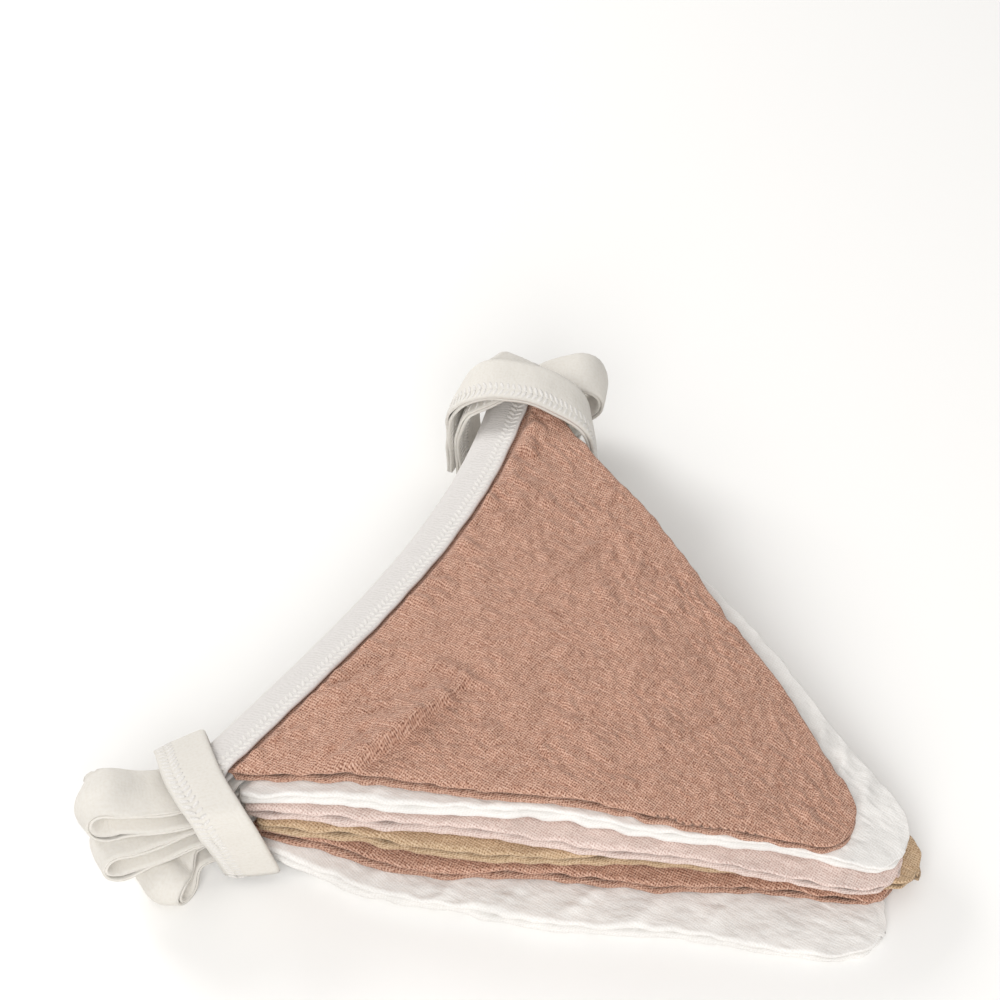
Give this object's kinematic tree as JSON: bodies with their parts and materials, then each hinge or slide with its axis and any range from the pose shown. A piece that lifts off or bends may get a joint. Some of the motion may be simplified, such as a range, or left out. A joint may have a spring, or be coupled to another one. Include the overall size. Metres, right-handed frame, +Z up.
{
  "type": "folded fabric bunting",
  "caption": "Fabric bunting folded into a stack: rounded triangular gauze pennants on one folded tape that loops between them, its ends wound round two corners.",
  "frame": {"origin": "on the resting surface, under the middle of the stack", "axes": "+Z up, +X from the pennants' sewn edges to their tips, +Y along the tape from the near corner to the far one"},
  "size_m": [0.1923, 0.2114, 0.048],
  "materials": {
    "clay_gauze": "matt crinkled cotton double gauze",
    "white_gauze": "matt crinkled cotton double gauze",
    "pink_gauze": "matt crinkled cotton double gauze",
    "sand_gauze": "matt crinkled cotton double gauze",
    "cotton_tape": "plain cotton tape with a stitched edge"
  },
  "bodies": {
    "root": {"pennant_clay_top": "clay_gauze", "pennant_white_upper": "white_gauze", "pennant_pink": "pink_gauze", "pennant_sand": "sand_gauze", "pennant_clay_lower": "clay_gauze", "pennant_white_bottom": "white_gauze", "tape": "cotton_tape"}
  },
  "joints": []
}
